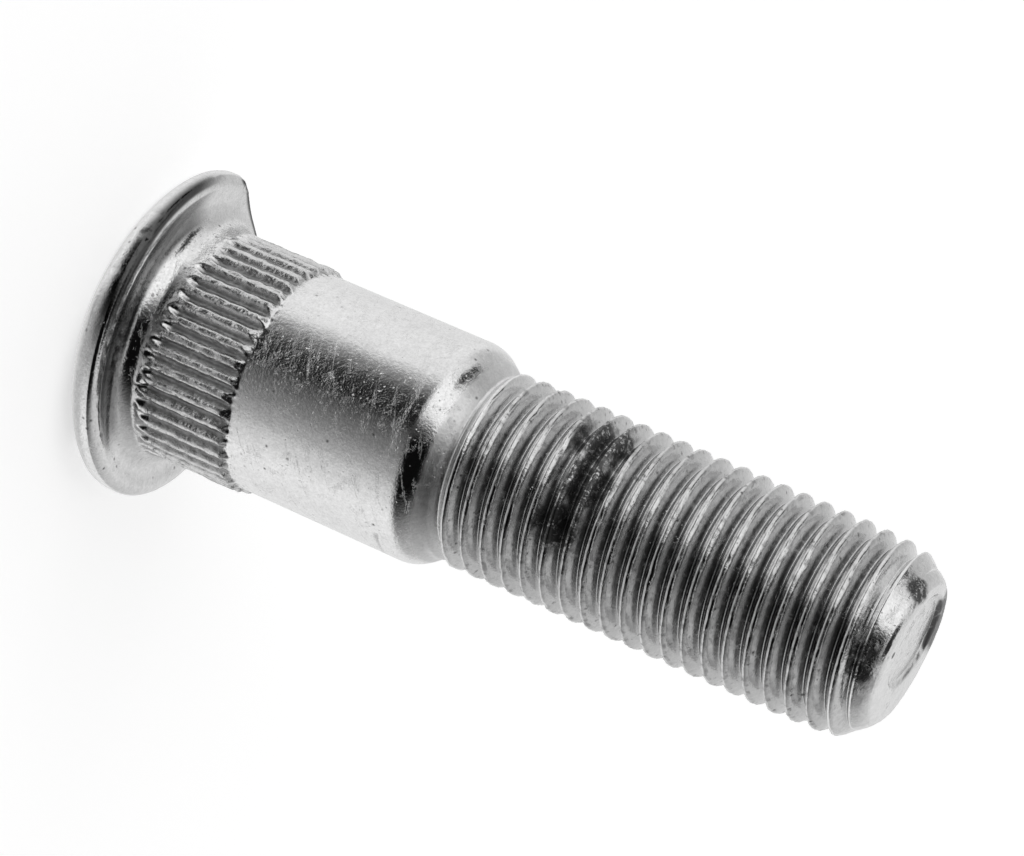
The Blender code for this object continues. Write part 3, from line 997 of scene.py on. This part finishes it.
def steel():
    """Bright zinc plating: cloudy and finely peened, with hairlines, pits, grime and painted shade in
    its hollows, and a painted dark reflection on the head's near side.
    """
    material = bpy.data.materials.new("zinc_plated_steel")
    material.use_nodes = True
    tree = material.node_tree
    shader = tree.nodes["Principled BSDF"]
    place = scaled(tree, tree.nodes.new("ShaderNodeTexCoord").outputs["Object"], [1 / MM] * 3)
    patterns = steel_patterns(tree, place)

    tone = weighted(tree, patterns, TONE_LEVEL, TONE)
    # Darker teeth and thread, and the painted dark reflection on the head's near side
    for name, share in SHADES.items():
        tone = maths(tree, "MULTIPLY", tone, weighted(tree, patterns, 1, {name: -share}))
    # Near-black grime and painted shade cover the tone
    covered = maths(tree, "MULTIPLY", patterns["grime_and_shade"], GRIME_AND_SHADE_COVER)
    tree.links.new(blend(tree, covered, tone, GRIME_AND_SHADE_TONE), shader.inputs["Base Color"])
    shader.inputs["Metallic"].default_value = 1
    rough = weighted(tree, patterns, ROUGH_LEVEL, ROUGH)
    tree.links.new(rough, shader.inputs["Roughness"])

    bump = tree.nodes.new("ShaderNodeBump")
    bump.inputs["Distance"].default_value = MM
    tree.links.new(weighted(tree, patterns, 0, RELIEF), bump.inputs["Height"])
    tree.links.new(bump.outputs["Normal"], shader.inputs["Normal"])
    return material


def add_camera():
    azimuth = math.radians(CAMERA_AZIMUTH)
    elevation = math.radians(CAMERA_ELEVATION)
    x = math.sin(azimuth) * math.cos(elevation)
    y = -math.cos(azimuth) * math.cos(elevation)
    back = Vector((x, y, math.sin(elevation)))
    data = bpy.data.cameras.new("camera")
    data.lens = CAMERA_LENS
    data.clip_start = CAMERA_CLIP_START
    data.clip_end = CAMERA_CLIP_END
    camera = bpy.data.objects.new("camera", data)
    place = Matrix.Translation((Vector(CAMERA_AIM) + back * CAMERA_DISTANCE) * MM)
    level = back.to_track_quat("Z", "Y").to_matrix().to_4x4()
    camera.matrix_world = place @ level @ Matrix.Rotation(math.radians(CAMERA_ROLL), 4, "Z")
    bpy.context.scene.collection.objects.link(camera)
    bpy.context.scene.camera = camera


def brightness_ring(tree, turn, stops):
    """A ramp round the horizon, from stops of (angle, brightness)."""
    node = tree.nodes.new("ShaderNodeValToRGB")
    ramp = node.color_ramp
    ramp.interpolation = "EASE"
    while len(ramp.elements) < len(stops):
        ramp.elements.new(0.5)
    for element, (angle, level) in zip(ramp.elements, stops):
        element.position = (angle + 180) / 360
        element.color = (level, level, level, 1)
    tree.links.new(turn, node.inputs[0])
    return node.outputs["Color"]


def add_studio():
    """Surroundings by direction: three rings of brightness, the light above and dark screens."""
    world = bpy.data.worlds.new("studio")
    world.use_nodes = True
    bpy.context.scene.world = world
    tree = world.node_tree
    direction = tree.nodes.new("ShaderNodeTexCoord").outputs["Generated"]
    near = dot(tree, direction, direction_at(NEAR_ANGLE))
    down = dot(tree, direction, direction_at(DOWN_ANGLE))
    height = dot(tree, direction, (0, 0, 1))
    turn = maths(tree, "MULTIPLY_ADD", maths(tree, "ARCTAN2", down, near), 1 / math.tau, 0.5)
    sky = brightness_ring(tree, turn, DEEP_RING)
    sky = blend(tree, ease(tree, height, *DEEP_TO_LOW), sky, brightness_ring(tree, turn, LOW_RING))
    sky = blend(tree, ease(tree, height, *LOW_TO_HIGH), sky, brightness_ring(tree, turn, HIGH_RING))
    sky = blend(tree, ease(tree, height, *HIGH_TO_TOP), sky, TOP_LIGHT)
    for aside, above, size, level in SCREENS:
        above = math.radians(above)
        aside = math.radians(NEAR_ANGLE + aside)
        towards = Vector(turned(math.cos(above), math.sin(above), aside))
        edge = math.cos(math.radians(size))
        core = math.cos(math.radians(size / 2))
        sky = blend(tree, ease(tree, dot(tree, direction, towards), edge, core), sky, level)
    seen = tree.nodes.new("ShaderNodeLightPath").outputs["Is Camera Ray"]
    tree.links.new(blend(tree, seen, sky, 1.0), tree.nodes["Background"].inputs["Color"])


def floor_material():
    """Pale and matt, with a light of its own that only the camera sees."""
    material = bpy.data.materials.new("pale_floor")
    material.use_nodes = True
    tree = material.node_tree
    tree.nodes.remove(tree.nodes["Principled BSDF"])
    matte = tree.nodes.new("ShaderNodeBsdfDiffuse")
    matte.inputs["Color"].default_value = FLOOR_COLOUR
    lift = tree.nodes.new("ShaderNodeEmission")
    seen = tree.nodes.new("ShaderNodeLightPath").outputs["Is Camera Ray"]
    tree.links.new(maths(tree, "MULTIPLY", seen, FLOOR_GLOW), lift.inputs["Strength"])
    both = tree.nodes.new("ShaderNodeAddShader")
    tree.links.new(matte.outputs[0], both.inputs[0])
    tree.links.new(lift.outputs[0], both.inputs[1])
    tree.links.new(both.outputs[0], tree.nodes["Material Output"].inputs["Surface"])
    return material


def add_floor():
    mesh = bpy.data.meshes.new("floor")
    reach = FLOOR_REACH
    corners = [(-reach, -reach, 0), (reach, -reach, 0), (reach, reach, 0), (-reach, reach, 0)]
    mesh.from_pydata(corners, [], [(0, 1, 2, 3)])
    mesh.materials.append(floor_material())
    floor = bpy.data.objects.new("floor", mesh)
    floor.visible_glossy = False
    floor.visible_shadow = False
    bpy.context.scene.collection.objects.link(floor)


stud = stud_piece()
stud.data.materials.append(steel())
add_camera()
add_studio()
add_floor()
bpy.context.scene.view_settings.view_transform = "Standard"
